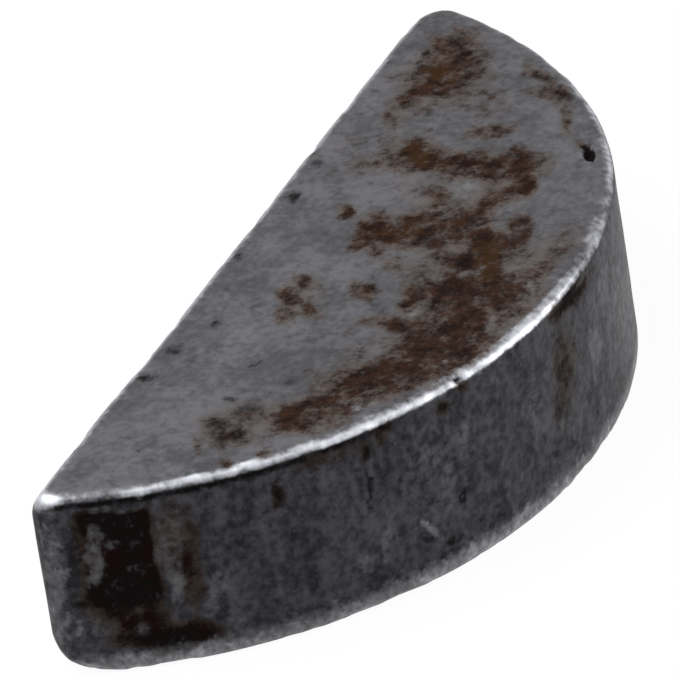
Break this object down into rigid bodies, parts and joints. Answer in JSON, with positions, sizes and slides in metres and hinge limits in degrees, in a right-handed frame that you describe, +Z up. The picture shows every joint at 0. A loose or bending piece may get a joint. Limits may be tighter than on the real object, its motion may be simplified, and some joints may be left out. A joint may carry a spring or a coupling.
{
  "type": "woodruff key",
  "caption": "Half-moon shaft key: a small steel disc segment with a straight face and a round face, worn and rust-stained, that locks a hub to a shaft.",
  "frame": {"origin": "middle of the key's outline, on the flat side that it lies on", "axes": "+X along the straight face, +Y out of the straight face, +Z up through the thickness"},
  "size_m": [0.0096, 0.0037, 0.002],
  "materials": {
    "dark_steel": "dull dark grey steel with brown rust patches and a bright worn edge"
  },
  "bodies": {
    "root": {"half_moon_key": "dark_steel"}
  },
  "joints": []
}
